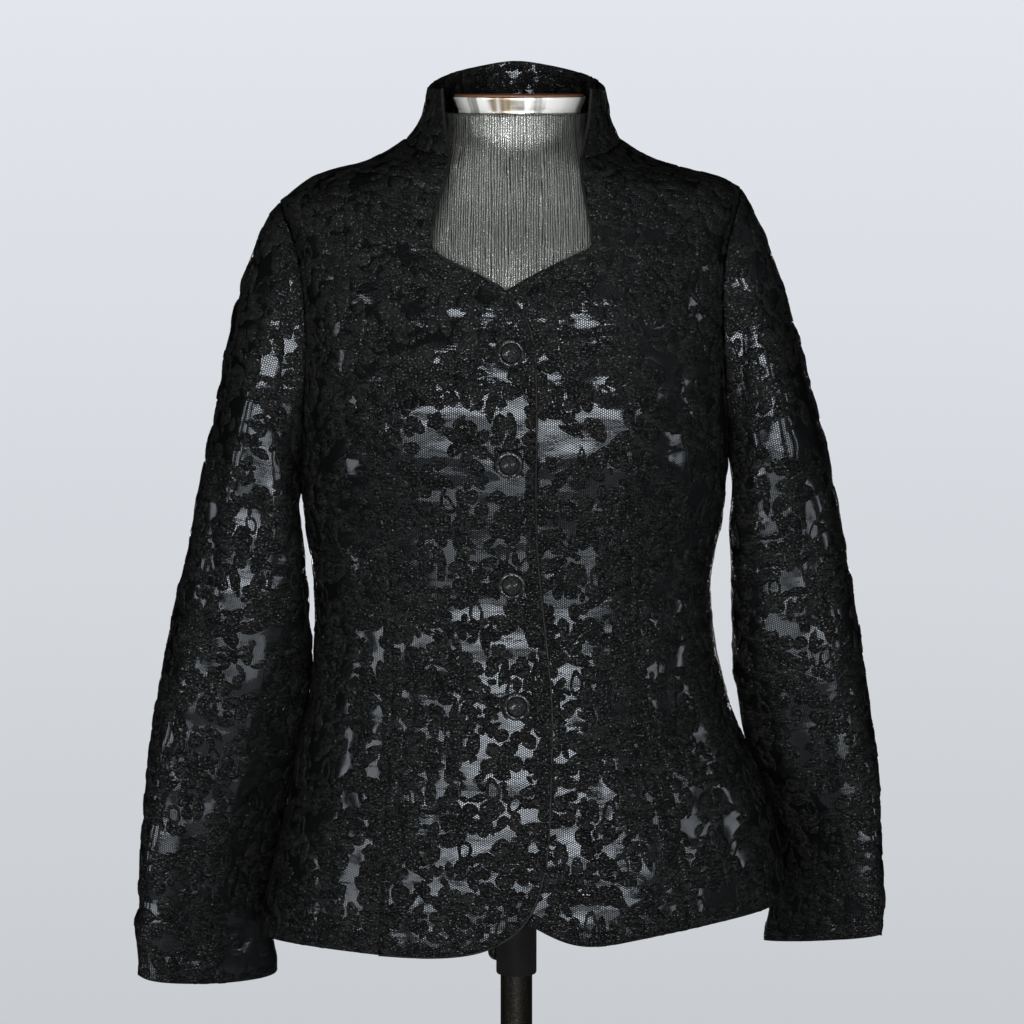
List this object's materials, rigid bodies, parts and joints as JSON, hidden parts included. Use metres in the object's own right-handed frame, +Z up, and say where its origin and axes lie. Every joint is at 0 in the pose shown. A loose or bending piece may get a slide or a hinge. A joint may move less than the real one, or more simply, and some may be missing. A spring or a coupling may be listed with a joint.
{
  "type": "lace blazer on a limbless dress form with a stand",
  "caption": "Fitted long-sleeved lace jacket with a stand collar, buttoned over a limbless dress form on a pole with a round floor base.",
  "frame": {"origin": "on the floor under the pole, at the middle of the base's underside", "axes": "+Z up, the jacket's front faces -Y, +X is to the viewer's right, which is the wearer's left"},
  "size_m": [0.6064, 0.36, 1.5284],
  "materials": {
    "lace_cloth": "matte lace on satin",
    "covered_button": "matte lace on satin",
    "form_cover": "satin",
    "chrome": "polished",
    "cap_wood": "satin",
    "black_plastic": "satin",
    "pole_finish": "speckled black and bronze",
    "base_finish": "satin"
  },
  "bodies": {
    "root": {"back": "lace_cloth", "button_1": "covered_button", "button_2": "covered_button", "button_3": "covered_button", "button_4": "covered_button", "clamp_knob": "black_plastic", "collar": "lace_cloth", "dress_form": "form_cover", "front_left": "lace_cloth", "front_right": "lace_cloth", "neck_cap": "cap_wood", "neck_ring": "chrome", "pole": "pole_finish", "side_front_left": "lace_cloth", "side_front_right": "lace_cloth", "sleeve_left": "lace_cloth", "sleeve_right": "lace_cloth", "socket": "black_plastic", "stand_base": "base_finish"}
  },
  "joints": []
}
